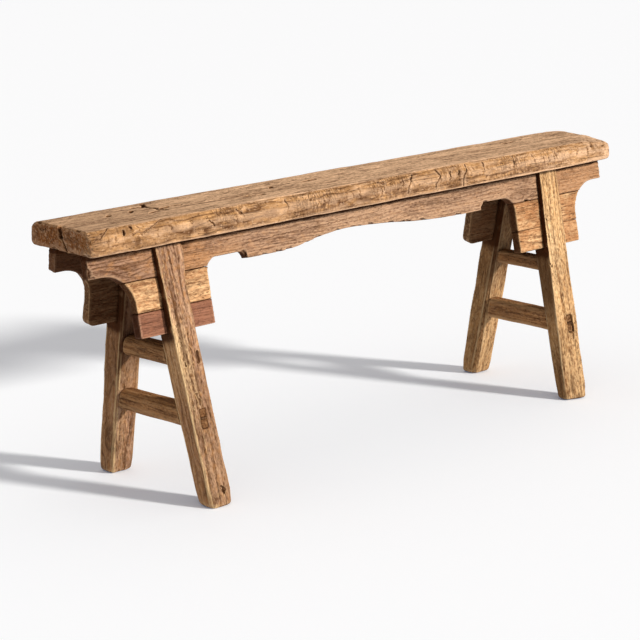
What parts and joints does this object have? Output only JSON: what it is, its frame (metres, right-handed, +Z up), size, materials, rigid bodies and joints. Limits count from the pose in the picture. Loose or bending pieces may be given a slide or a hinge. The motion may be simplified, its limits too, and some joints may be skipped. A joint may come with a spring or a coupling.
{
  "type": "long wooden bench",
  "caption": "Long narrow plank bench on splayed legs, with shaped aprons and spandrels slotted through the leg heads and stretchers tying each end; a seat for several people.",
  "frame": {"origin": "on the floor, amid the four feet", "axes": "+X along the seat, towards the worn right end; +Y from the front of the bench to its rear; +Z up"},
  "size_m": [1.312, 0.3301, 0.5],
  "materials": {
    "seat_wood": "old elm plank, worn to a dull wax sheen",
    "apron_wood": "weathered pinkish brown board",
    "spandrel_wood": "golden brown board, dull wax",
    "patch_wood": "reddish brown repair wood, dull wax",
    "leg_wood": "golden brown elm, worn arrises",
    "stretcher_wood": "grey brown elm, dull",
    "wedge_wood": "dark hardwood wedge",
    "bamboo": "dry split bamboo"
  },
  "bodies": {
    "root": {"seat_plank": "seat_wood", "front_apron": "apron_wood", "rear_apron": "apron_wood", "front_left_spandrel": "spandrel_wood", "front_right_spandrel": "spandrel_wood", "front_left_spandrel_patch": "patch_wood", "front_right_spandrel_patch": "spandrel_wood", "rear_left_spandrel": "spandrel_wood", "rear_right_spandrel": "spandrel_wood", "front_left_leg": "leg_wood", "front_left_wedge": "wedge_wood", "front_left_bamboo_pins": "bamboo", "front_right_leg": "leg_wood", "front_right_wedge": "wedge_wood", "front_right_bamboo_pins": "bamboo", "rear_left_leg": "leg_wood", "rear_left_wedge": "wedge_wood", "rear_left_bamboo_pins": "bamboo", "rear_right_leg": "leg_wood", "rear_right_wedge": "wedge_wood", "rear_right_bamboo_pins": "bamboo", "left_lower_stretcher": "stretcher_wood", "left_upper_stretcher": "stretcher_wood", "right_lower_stretcher": "stretcher_wood", "right_upper_stretcher": "stretcher_wood"}
  },
  "joints": []
}
